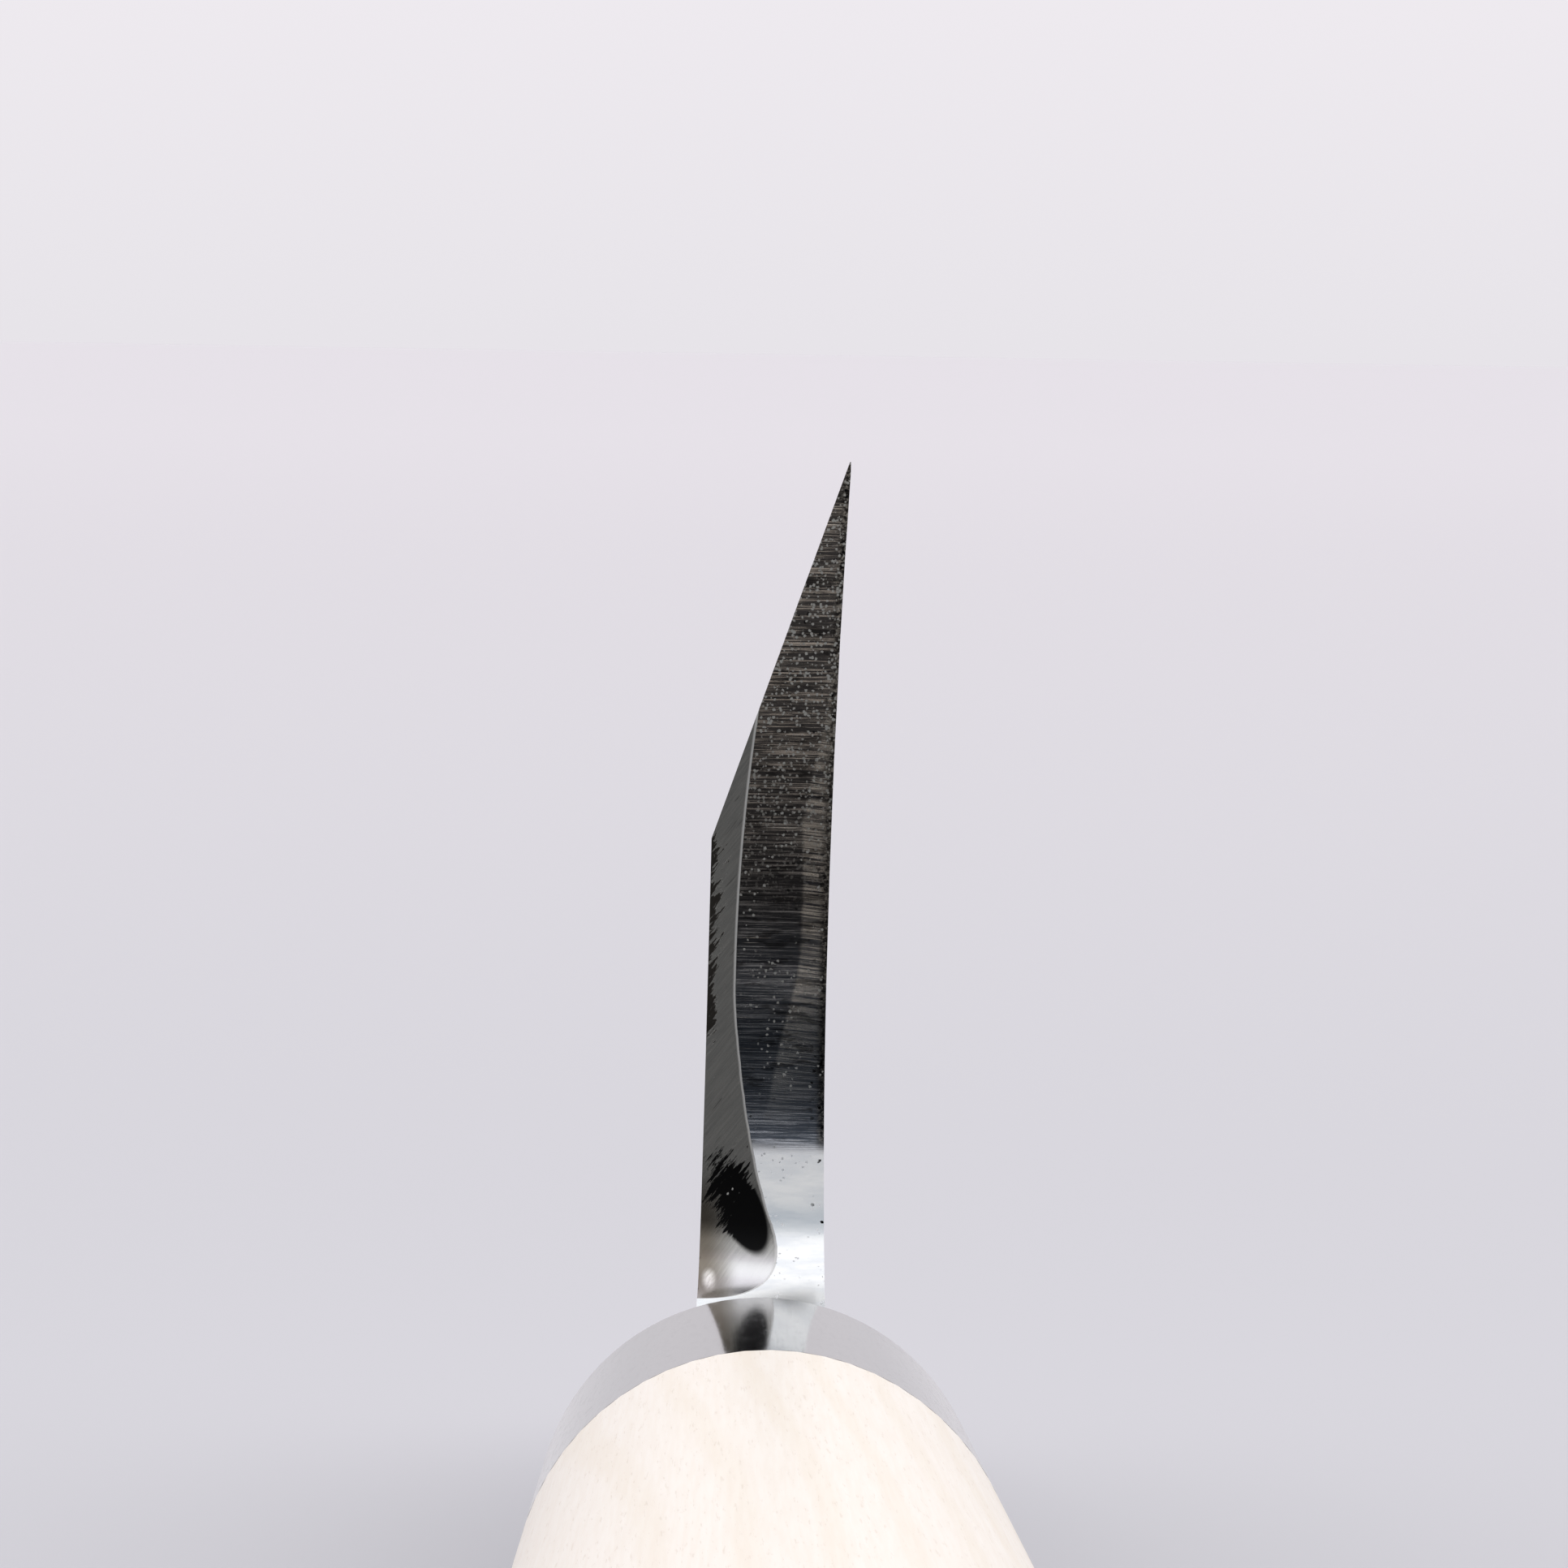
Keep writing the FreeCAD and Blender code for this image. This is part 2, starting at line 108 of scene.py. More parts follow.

# Where finishes and bands of painted light and shade give way to one another: each pair is the start and the
# end of a soft change.
# The heel's end and its relief change with height, and the relief starts at a depth in front of the heel's
# end.
HEEL_END_ABOVE_ROOT = (ROOT_AT - 5.0, ROOT_AT + 4.0)
HEEL_END_UPPER = (ROOT_AT + 2.0, ROOT_AT + 11.0)
HEEL_END_POLISHED_GLARE = (ROOT_AT - 5.4, ROOT_AT - 6.1)
STRIP_FOOT = (ROOT_AT - 5.6, ROOT_AT - 2.0)
STRIP_TOP = (ROOT_AT + 15.0, ROOT_AT + 10.0)
RELIEF_RUN_OUT = (RELIEF_END_AT - 2.0, RELIEF_END_AT - 3.4)
RELIEF_BROWN = (13.8, 11.4)
RELIEF_STARTS = (0.03, 0.05)
RELIEF_LIP = (0.13, 0.07)
HOLLOW_STARTS = (FLAT - 0.004, FLAT - 0.012)
HEEL_FACE_FRONT = (HEEL_AT + 1.5, HEEL_AT + 1.0)
NECK_SCALE = (MOUTH + 3.2, MOUTH + 2.0)

# The eased strip down the heel's flat side: its border, and how it narrows upwards and widens downwards.
STRIP_BORDER = 1.32
STRIP_NARROWS_ABOVE = ROOT_AT + 6.3
STRIP_NARROWING = 0.2
STRIP_WIDENS_BELOW = ROOT_AT + 1.3
STRIP_WIDENING = 0.21
STRIP_WANDER = 0.3

# The relief's scratches are turned this far from the level.
SCRATCH_TURN = math.atan2(4, 3)

# Black forge scale on the relief's outer border, which reaches further in near one height.
SCALE_BORDER = BACK + 0.06
SCALE_BORDER_LEAN = 0.012
SCALE_REACH = 2.3
SCALE_SWELL_AT = ROOT_AT + 1.9
SCALE_SWELL_HALF = 3.2
SCALE_SWELL = 0.56

# The dark oval near the relief's end is a painted dark reflection: its centre, its half axes and its lean
# from upright.
# A painted glint lies below it, at a height and a distance from the outer border.
PATCH_X = -0.84
PATCH_Z = 12.1
PATCH_LONG = 1.75
PATCH_WIDE = 0.8
PATCH_LEAN = math.radians(27.5)
GLINT_AT = SPINE + 15.5
GLINT_FROM_BORDER = 0.5
GLINT_TALL = 0.8

# The weld of hard steel to iron, measured up the bevel from the flat side.
WELD_DEPTH = 6.0
WELD_WANDER = 4.5
WELD_SOFT = 0.25

# Roughness of the steel's finishes, from a stone's mirror to forge scale and dust.
STONE_POLISHED = 0.12
HARD_STEEL = 0.14
BRIGHT_ROOT = 0.17
GLASSY_SCALE = 0.2
SATIN = 0.22
GROUND = 0.3
HOLLOW_GROUND = 0.34
HAZY_IRON = 0.4
FORGED = 0.5
DUSTY = 0.6

# Roughness of the other materials.
COLLAR_POLISHED = 0.07
COLLAR_MARKED = 0.1
COLLAR_SCUFFED = 0.2
SANDED_WOOD = 0.45
END_GRAIN = 0.68
CAST_RESIN = 0.6
PAPER = 0.9

# How high the relief of each material's bump stands, in millimetres.
STEEL_BUMP = 0.006
COLLAR_BUMP = 0.0006
WOOD_BUMP = 0.01
RESIN_BUMP = 0.05

# The wood's growth rings: the pith's place, the width of a year and how far the rings wander.
PITH_X = -38.0
PITH_Z = 24.0
RING_WIDTH = 2.3
RING_WANDER = 7.0

# A Mix node's sockets for its two inputs and its result, by data type.
MIX_SOCKETS = {"FLOAT": (2, 3, 0), "RGBA": (6, 7, 2)}


def srgb(red, green, blue):
    """A colour given as on a screen, 0 to 255, in the renderer's linear values."""
    linear = []
    for part in (red, green, blue):
        part /= 255
        linear.append(part / 12.92 if part <= 0.04045 else ((part + 0.055) / 1.055) ** 2.4)
    return (*linear, 1.0)


class Shader:
    """A material's node tree, written as formulas of the place on the object in millimetres."""

    def __init__(self, name):
        self.material = bpy.data.materials.new(name)
        self.material.use_nodes = True
        self.tree = self.material.node_tree
        self.surface = self.tree.nodes["Principled BSDF"]
        coords = self.tree.nodes.new("ShaderNodeTexCoord")
        self.place = self.vector("MULTIPLY", coords.outputs["Object"], (1 / MM,) * 3)
        self.x, self.y, self.z = self.split(self.place)
        self.nx, self.ny, self.nz = self.split(coords.outputs["Normal"])

    def link(self, value, socket):
        if isinstance(value, bpy.types.NodeSocket):
            self.tree.links.new(value, socket)
        else:
            socket.default_value = value

    def node(self, kind, **settings):
        made = self.tree.nodes.new("ShaderNode" + kind)
        for key, setting in settings.items():
            setattr(made, key, setting)
        return made

    def split(self, value):
        made = self.node("SeparateXYZ")
        self.link(value, made.inputs[0])
        return made.outputs

    def join(self, x, y, z):
        made = self.node("CombineXYZ")
        for value, socket in zip((x, y, z), made.inputs):
            self.link(value, socket)
        return made.outputs[0]

    def vector(self, operation, *values):
        made = self.node("VectorMath", operation=operation)
        for value, socket in zip(values, made.inputs):
            self.link(value, socket)
        return made.outputs["Value" if operation == "LENGTH" else "Vector"]

    def math(self, operation, *values):
        made = self.node("Math", operation=operation)
        for value, socket in zip(values, made.inputs):
            self.link(value, socket)
        return made.outputs[0]

    def add(self, a, b):
        return self.math("ADD", a, b)

    def sub(self, a, b):
        return self.math("SUBTRACT", a, b)

    def mul(self, a, b):
        return self.math("MULTIPLY", a, b)

    def both(self, *masks):
        result = masks[0]
        for mask in masks[1:]:
            result = self.mul(result, mask)
        return result

    def either(self, a, b):
        return self.math("MAXIMUM", a, b)

    def inverse(self, mask):
        return self.sub(1.0, mask)

    def line(self, x=0.0, y=0.0, z=0.0, offset=0.0):
        """x, y and z times the place, plus the offset."""
        total = offset
        for factor, part in ((x, self.x), (y, self.y), (z, self.z)):
            if factor:
                total = self.add(self.mul(part, factor), total)
        return total

    def step(self, value, low, high):
        """0 at low and 1 at high, with a soft change between, whichever is larger."""
        rises = low < high
        made = self.node("MapRange", interpolation_type="SMOOTHSTEP")
        self.link(min(low, high), made.inputs["From Min"])
        self.link(max(low, high), made.inputs["From Max"])
        self.link(0.0 if rises else 1.0, made.inputs["To Min"])
        self.link(1.0 if rises else 0.0, made.inputs["To Max"])
        self.link(value, made.inputs["Value"])
        return made.outputs["Result"]

    def band(self, value, centre, half, soft):
        """1 within half of the centre, with a soft change to 0 past it."""
        distance = self.math("ABSOLUTE", self.sub(value, centre))
        return self.step(distance, half + soft, half)

    def noise(self, stretch, detail=2.0, rough=0.5, warp=0.0, offset=(0.0, 0.0, 0.0), place=None):
        """Noise whose grains are 1 / stretch millimetres along each axis; about 0 to 1."""
        made = self.node("TexNoise")
        scaled = self.vector("MULTIPLY", place or self.place, stretch)
        self.link(self.vector("ADD", scaled, offset), made.inputs["Vector"])
        self.link(1.0, made.inputs["Scale"])
        self.link(detail, made.inputs["Detail"])
        self.link(rough, made.inputs["Roughness"])
        self.link(warp, made.inputs["Distortion"])
        return made.outputs[0]

    def cells(self, stretch, offset):
        """The distance to the nearest of the scattered points, one to a cell of 1 / stretch millimetres."""
        made = self.node("TexVoronoi")
        scaled = self.vector("MULTIPLY", self.place, stretch)
        self.link(self.vector("ADD", scaled, offset), made.inputs["Vector"])
        self.link(1.0, made.inputs["Scale"])
        return made.outputs["Distance"]

    def mixed(self, data_type, share, a, b):
        first, second, result = MIX_SOCKETS[data_type]
        made = self.node("Mix", data_type=data_type)
        self.link(share, made.inputs["Factor"])
        self.link(a, made.inputs[first])
        self.link(b, made.inputs[second])
        return made.outputs[result]

    def mix(self, share, a, b):
        """One colour or the other, by the share."""
        return self.mixed("RGBA", share, a, b)

    def blend(self, share, a, b):
        """One number or the other, by the share."""
        return self.mixed("FLOAT", share, a, b)

    def bump(self, height, depth_mm, normal=None):
        """Tilts the surface by a height of 0 to 1 that stands for this many millimetres."""
        made = self.node("Bump")
        self.link(depth_mm * MM, made.inputs["Distance"])
        self.link(height, made.inputs["Height"])
        if normal is not None:
            self.link(normal, made.inputs["Normal"])
        return made.outputs[0]

    def facing(self, x, y, up):
        """The world normal that leans up, by this sine, from the level direction x, y."""
        up = self.math("MINIMUM", up, STEEPEST_LEAN)
        level = self.math("SQRT", self.sub(1.0, self.mul(up, up)))
        turn = self.node("VectorTransform", vector_type="NORMAL", convert_from="OBJECT", convert_to="WORLD")
        self.link(self.join(self.mul(level, x), self.mul(level, y), up), turn.inputs[0])
        return turn.outputs[0]

    def finish(self, **values):
        for name, value in values.items():
            self.link(value, self.surface.inputs[name.replace("_", " ")])
        return self.material


def dress(node, material):
    nodes[node].data.materials.clear()
    nodes[node].data.materials.append(material)


def dots(s, per_mm, radius, share, offset):
    """Small ragged spots of uneven size, kept over about this share of the surface."""
    size = s.mul(s.noise((0.8 * per_mm,) * 3, offset=offset), 2 * radius)
    ragged = s.mul(s.sub(s.noise((4.0 * per_mm,) * 3, detail=2, offset=offset), 0.5), 1.6 * radius)
    distance = s.add(s.cells((per_mm,) * 3, offset), ragged)
    spots = s.step(s.sub(size, distance), 0.0, 0.3 * radius)
    kept = s.step(s.noise((0.5, 0.5, 0.5), detail=3, rough=0.7, offset=offset), 1 - share, 1.05 - share)
    return s.mul(spots, kept)


def heel_shape(s):
    """The exact normal of the heel's end, and how far a point lies in front of that end."""
    below = s.line(z=-1.0, offset=ROOT_AT)
    up = s.either(s.mul(below, 1 / ROOT_RADIUS), s.mul(below, 1 / HOLLOW_RADIUS))
    radius = s.blend(s.math("GREATER_THAN", below, 0.0), HOLLOW_RADIUS, ROOT_RADIUS)
    level = s.math("SQRT", s.sub(1.0, s.mul(up, up)))
    sink = s.add(s.line(y=1.0, offset=-HEEL_AT), s.mul(radius, s.inverse(level)))
    return s.facing(0.0, -1.0, up), sink


def relief_normal(s):
    """The exact normal of the slanting face beside the heel's end."""
    root = s.line(z=-1 / RELIEF_ROOT_RADIUS, offset=RELIEF_ROOT_AT / RELIEF_ROOT_RADIUS)
    end = s.line(z=-1 / RELIEF_END_RADIUS, offset=RELIEF_END_AT / RELIEF_END_RADIUS)
    up = s.either(s.either(root, end), 0.0)
    return s.facing(-math.sin(RELIEF_TURN), -math.cos(RELIEF_TURN), up)


def flat_border(s):
    """How far a point of the heel's end lies from the hollowed flat side."""
    across = s.line(z=1.0, offset=-HEEL_MIDDLE)
    border = s.add(s.mul(s.mul(across, across), 0.5 / FLAT_HOLLOW_RADIUS), FLAT - FLAT_HOLLOW_DEPTH)
    return s.sub(border, s.x)


def strip_edge(s):
    """How far a point lies inside the eased strip that widens down the heel's flat side."""
    above = s.either(s.line(z=1.0, offset=-STRIP_NARROWS_ABOVE), 0.0)
    below = s.either(s.line(z=-1.0, offset=STRIP_WIDENS_BELOW), 0.0)
    wander = s.mul(s.sub(s.noise((0.6, 0.6, 0.6), detail=3), 0.5), STRIP_WANDER)
    border = s.sub(s.add(s.mul(above, STRIP_NARROWING), STRIP_BORDER), s.mul(below, STRIP_WIDENING))
    return s.add(s.sub(s.x, border), wander)


def heel_end(s):
    """The ground rear end of the heel: colour with painted glare and shade, roughness and height."""
    inside_strip = strip_edge(s)
    above_root = s.step(s.z, *HEEL_END_ABOVE_ROOT)
    upper = s.step(s.z, *HEEL_END_UPPER)
    polished = s.step(s.z, *HEEL_END_POLISHED_GLARE)
    strip = s.both(s.step(inside_strip, -0.06, 0.1), s.step(s.z, *STRIP_FOOT), s.step(s.z, *STRIP_TOP))

    # Grinding lines run across the end, and drop a little towards the flat side inside the strip.
    drop = s.mul(s.mul(s.either(inside_strip, 0.0), strip), 0.1)
    ground = s.join(s.x, s.y, s.add(s.z, drop))
    coarse = s.noise((0.16, 0.5, 4.2), detail=5, rough=0.75, place=ground)
    fine = s.noise((0.4, 1.0, 22.0), detail=4, rough=0.75, offset=(1.0, 7.0, 2.0), place=ground)
    cuts = s.noise((0.28, 0.4, 13.0), detail=2, rough=0.6, offset=(7.0, 3.0, 1.0), place=ground)
    lines = s.blend(0.7, coarse, fine)
    bright_line = s.step(lines, 0.48, 0.61)

    # The line colours are painted light and shade by height: a pale bluish painted glare below the root,
    # dark painted shade above it, lighter and warmer higher up. The eased strip's colours follow the same
    # painted light.
    dark = s.mix(above_root, srgb(96, 104, 116), s.mix(upper, srgb(42, 42, 44), srgb(62, 61, 62)))
    light = s.mix(above_root, srgb(226, 232, 242), s.mix(upper, srgb(104, 104, 106), srgb(168, 162, 156)))
    colour = s.mix(bright_line, dark, light)
    near_strip_edge = s.mul(strip, s.step(inside_strip, 2.2, 0.1))
    strip_light = s.mix(above_root, srgb(252, 252, 250), srgb(166, 162, 156))
    strip_dark = s.mix(above_root, srgb(132, 140, 152), srgb(52, 53, 58))
    strip_colour = s.mix(s.step(lines, 0.43, 0.58), strip_dark, strip_light)
    colour = s.mix(near_strip_edge, colour, strip_colour)
    colour = s.mix(s.mul(s.step(cuts, 0.7, 0.75), 0.75), colour, srgb(214, 210, 204))

    # Dark blotches above the polished root, which a haze clouds a little. The polished root itself is
    # painted near-white as painted glare.
    blotches = s.step(s.noise((0.5, 0.6, 1.9), detail=5, rough=0.7, offset=(3.0, 5.0, 9.0)), 0.52, 0.6)
    colour = s.mix(s.both(blotches, s.inverse(polished), 0.6), colour, srgb(24, 23, 24))
    haze = s.noise((0.5, 0.5, 2.2), detail=4, rough=0.6, offset=(5.0, 5.0, 5.0))
    mirror = s.mix(s.step(haze, 0.35, 0.65), srgb(232, 235, 240), srgb(247, 248, 250))
    colour = s.mix(polished, colour, mirror)

    # A mottled rim beside the hollow, then pits and bright specks.
    rim = s.step(flat_border(s), 0.42, 0.1)
    rim_grain = s.noise((7.0, 7.0, 7.0), detail=3, rough=0.8)
    colour = s.mix(s.both(rim, s.inverse(polished), 0.9), colour,
                   s.mix(s.step(rim_grain, 0.45, 0.65), srgb(22, 21, 22), srgb(140, 138, 134)))
    pits = s.either(
        dots(s, 4.0, 0.22, 0.42, (1.0, 2.0, 3.0)),
        s.mul(dots(s, 3.4, 0.26, 0.5, (5.0, 1.0, 2.0)), s.step(flat_border(s), 0.8, 0.2)),
    )
    colour = s.mix(pits, colour, srgb(16, 16, 18))
    specks = s.either(
        s.mul(dots(s, 6.0, 0.33, 0.72, (8.0, 4.0, 6.0)), upper),
        dots(s, 4.5, 0.24, 0.5, (2.0, 4.0, 9.0)),
    )
    colour = s.mix(s.mul(specks, s.inverse(polished)), colour, srgb(205, 206, 204))

    rough = s.blend(s.step(lines, 0.35, 0.7), GROUND, SATIN)
    rough = s.blend(polished, rough, BRIGHT_ROOT)
    rough = s.blend(specks, rough, DUSTY)
    relief = s.blend(polished, lines, s.blend(0.9, lines, 0.5))
    height = s.sub(s.mul(relief, 0.4), s.mul(s.either(pits, s.mul(rim, 0.3)), 0.5))
    return colour, rough, height


def heel_relief(s, sink):
    """The slanting face beside the heel's end: smooth, with slanting scratches and forge scale, plus painted
    light: a dark reflection, a glint, glare and a bright lip.
    """
    slant_sine = math.sin(SCRATCH_TURN)
    slant_cosine = math.cos(SCRATCH_TURN)
    slant = s.join(s.line(x=slant_cosine, z=slant_sine), s.y, s.line(x=slant_sine, z=-slant_cosine))
    scratches = s.noise((0.45, 1.0, 13.0), detail=4, rough=0.75, place=slant)
    colour = s.mix(s.step(scratches, 0.3, 0.7), srgb(176, 176, 174), srgb(198, 197, 194))
    deep = s.step(s.noise((0.7, 1.0, 11.0), detail=1, offset=(4.0, 1.0, 7.0), place=slant), 0.7, 0.76)
    colour = s.mix(s.mul(deep, 0.5), colour, srgb(70, 68, 66))
    ragged = s.sub(s.noise((0.7, 1.0, 6.5), detail=5, rough=0.7, offset=(2.0, 2.0, 2.0), place=slant), 0.5)

    # Black scale is left along the border. The oval patch near the end of the relief is a painted dark
    # reflection, and the glint below it is a painted highlight.
    from_border = s.line(x=1.0, z=-SCALE_BORDER_LEAN, offset=-SCALE_BORDER)
    swell = s.band(s.z, SCALE_SWELL_AT, SCALE_SWELL_HALF, SCALE_SWELL_HALF / 2)
    reach = s.add(s.mul(ragged, SCALE_REACH), s.mul(swell, SCALE_SWELL))
    scale = s.step(s.sub(reach, from_border), 0.1, 0.17)
    right = s.line(x=1.0, offset=-PATCH_X)
    above = s.line(z=1.0, offset=-PATCH_Z)
    sine = math.sin(PATCH_LEAN)
    cosine = math.cos(PATCH_LEAN)
    along = s.sub(s.mul(right, sine), s.mul(above, cosine))
    across = s.add(s.mul(right, cosine), s.mul(above, sine))
    oval = s.vector("LENGTH", s.join(s.mul(along, 1 / PATCH_LONG), s.mul(across, 1 / PATCH_WIDE), 0.0))
    hairy = s.mul(s.either(s.step(across, 0.1, -0.5), s.step(along, 0.0, -1.2)), s.step(along, 1.2, 0.2))
    oval = s.add(oval, s.mul(s.mul(ragged, hairy), 3.6))
    dark_reflection_patch = s.step(oval, 1.14, 0.94)
    brown = s.both(s.step(s.z, *RELIEF_BROWN), s.step(from_border, 1.5, 0.3))
    glint_up = s.mul(s.line(z=1.0, offset=-GLINT_AT), GLINT_TALL)
    glint_in = s.sub(from_border, GLINT_FROM_BORDER)
    from_glint = s.vector("LENGTH", s.join(glint_up, glint_in, 0.0))
    glint = s.mul(s.step(from_glint, 0.34, 0.05), s.step(ragged, -0.3, 0.1))
    # The run-out below the relief's end is painted near-white: painted glare.
    run_out_glare = s.step(s.z, *RELIEF_RUN_OUT)
    colour = s.mix(s.mul(run_out_glare, s.step(from_border, 0.9, 1.7)), colour, srgb(240, 241, 244))
    colour = s.mix(s.mul(brown, 0.85), colour, srgb(118, 108, 94))
    colour = s.mix(glint, colour, srgb(250, 248, 244))
    colour = s.mix(s.mul(scale, 0.92), colour, srgb(34, 27, 20))
    colour = s.mix(dark_reflection_patch, colour, srgb(20, 20, 21))

    # A painted highlight along the lip where the relief meets the heel's end, then pits and specks.
    lip_highlight = s.step(sink, *RELIEF_LIP)
    colour = s.mix(s.mul(lip_highlight, 0.75), colour, srgb(255, 255, 255))
    pits = dots(s, 2.6, 0.16, 0.4, (2.0, 7.0, 3.0))
    colour = s.mix(pits, colour, srgb(24, 24, 25))
    specks = dots(s, 3.4, 0.16, 0.4, (6.0, 1.0, 3.0))
    colour = s.mix(specks, colour, srgb(226, 226, 224))
    rough = s.blend(s.either(scale, dark_reflection_patch), GLASSY_SCALE, HAZY_IRON)
    rough = s.blend(s.either(specks, lip_highlight), rough, FORGED)
    height = s.sub(s.mul(scratches, 0.25), s.mul(s.either(pits, scale), 0.4))
    return colour, rough, height


def broad_sides(s):
    """Both sides of the blade, its bevel and its spine."""
    long_coarse = s.noise((0.6, 0.025, 5.0), detail=4, rough=0.6)
    long_fine = s.noise((1.5, 0.1, 26.0), detail=3, rough=0.65)
    lines = s.blend(0.5, long_coarse, long_fine)
    colour = s.mix(s.step(lines, 0.3, 0.7), srgb(176, 177, 180), srgb(208, 208, 209))
    rough = s.blend(s.step(lines, 0.3, 0.7), GROUND, SATIN)
    height = s.mul(lines, 0.45)

    # The hollow of the flat side, ground round its length, inside a rim polished on a stone.
    flat_side = s.step(s.nx, 0.8, 0.9)
    hollow = s.mul(flat_side, s.step(s.x, *HOLLOW_STARTS))
    rings = s.noise((2.0, 0.05, 14.0), detail=4, rough=0.7)
    colour = s.mix(hollow, colour, s.mix(s.step(rings, 0.3, 0.7), srgb(150, 152, 156), srgb(190, 191, 194)))
    rough = s.blend(hollow, rough, HOLLOW_GROUND)
    rim = s.mul(flat_side, s.inverse(hollow))
    colour = s.mix(rim, colour, srgb(222, 222, 223))
    rough = s.blend(rim, rough, STONE_POLISHED)

    # The bevel: hazy iron above, bright hard steel next to the edge, with a wavering weld line between.
    bevel = s.both(s.step(s.nx, -0.9, -0.92), s.step(s.nz, 0.04, 0.06))
    bevel_depth = s.mul(s.sub(FLAT, s.x), 1.0 / BEVEL_SLOPE)
    wave = s.mul(s.sub(s.noise((0.0, 0.16, 0.0), detail=5, rough=0.65), 0.5), WELD_WANDER)
    weld = s.step(s.sub(s.add(bevel_depth, wave), WELD_DEPTH), -WELD_SOFT, WELD_SOFT)
    cloud = s.noise((0.5, 0.09, 0.7), detail=6, rough=0.7, warp=0.6)
    stone = s.noise((6.0, 5.0, 6.0), detail=3, rough=0.7, offset=(4.0, 4.0, 4.0))
    iron = s.mix(s.step(s.blend(0.4, cloud, stone), 0.36, 0.64), srgb(128, 129, 131), srgb(164, 165, 167))
    bevel_colour = s.mix(weld, srgb(214, 215, 217), iron)
    colour = s.mix(bevel, colour, bevel_colour)
    rough = s.blend(bevel, rough, s.blend(weld, HARD_STEEL, HAZY_IRON))
    height = s.blend(bevel, height, s.mul(s.blend(weld, 0.5, stone), 0.3))

    # The spine and the blade's other narrow faces, ground across.
    spine = s.step(s.math("ABSOLUTE", s.nx), 0.5, 0.3)
    cross = s.noise((0.5, 9.0, 1.0), detail=4, rough=0.7)
    colour = s.mix(spine, colour, s.mix(s.step(cross, 0.3, 0.7), srgb(120, 120, 122), srgb(186, 186, 188)))
    rough = s.blend(spine, rough, HOLLOW_GROUND)
    height = s.blend(spine, height, s.mul(cross, 0.5))

    scratches = s.step(s.noise((3.0, 0.14, 9.0), detail=1, warp=0.8, offset=(2.0, 9.0, 1.0)), 0.74, 0.77)
    colour = s.mix(s.mul(scratches, 0.5), colour, srgb(236, 236, 236))
    pits = dots(s, 0.9, 0.12, 0.36, (3.0, 3.0, 8.0))
    colour = s.mix(s.mul(pits, 0.7), colour, srgb(60, 58, 56))
    return colour, rough, height


def steel():
    """Ground and polished steel, whose heel has an end face and a relief beside it."""
    s = Shader("blade_steel")
    end_face = s.both(
        s.step(s.math("ABSOLUTE", s.nx), 0.9, 0.88),
        s.step(s.y, *HEEL_FACE_FRONT),
        s.step(s.nz, -0.6, -0.4),
    )
    end_normal, sink = heel_shape(s)
    relief = s.step(sink, *RELIEF_STARTS)
    side_colour, side_rough, side_height = broad_sides(s)
    end_colour, end_rough, end_height = heel_end(s)
    relief_colour, relief_rough, relief_height = heel_relief(s, sink)
    colour = s.mix(end_face, side_colour, s.mix(relief, end_colour, relief_colour))
    rough = s.blend(end_face, side_rough, s.blend(relief, end_rough, relief_rough))
    height = s.blend(end_face, side_height, s.blend(relief, end_height, relief_height))
    own_normal = s.node("NewGeometry").outputs["Normal"]
    normal = s.mix(end_face, own_normal, s.mix(relief, end_normal, relief_normal(s)))

    # Brown-black forge scale is left on the tang and where the neck enters the collar.
    grime = s.noise((0.9, 0.9, 0.9), detail=5, rough=0.7)
    neck = s.step(s.add(s.y, s.mul(grime, 3.0)), *NECK_SCALE)
    colour = s.mix(s.mul(neck, 0.85), colour, s.mix(grime, srgb(34, 27, 22), srgb(92, 78, 66)))
    rough = s.blend(neck, rough, FORGED)
    uneven = s.bump(height, STEEL_BUMP, normal)
    return s.finish(Base_Color=colour, Metallic=1.0, Roughness=rough, Normal=uneven)


def collar_plastic():
    """Polished black, with fine marks from handling and a few scuffs."""
    s = Shader("collar_black")
    swirl = s.noise((0.15, 0.05, 0.15), detail=3)
    marks = s.noise((5.0, 0.5, 5.0), detail=3, rough=0.7)
    scuffs = s.step(s.noise((0.7, 2.5, 0.7), detail=4, rough=0.7, warp=1.0), 0.62, 0.75)
    colour = s.mix(s.step(swirl, 0.4, 0.7), srgb(20, 20, 21), srgb(32, 31, 31))
    rough = s.blend(s.step(marks, 0.45, 0.7), COLLAR_POLISHED, COLLAR_MARKED)
    rough = s.blend(scuffs, rough, COLLAR_SCUFFED)
    return s.finish(Base_Color=colour, Roughness=rough, IOR=1.62, Normal=s.bump(marks, COLLAR_BUMP))


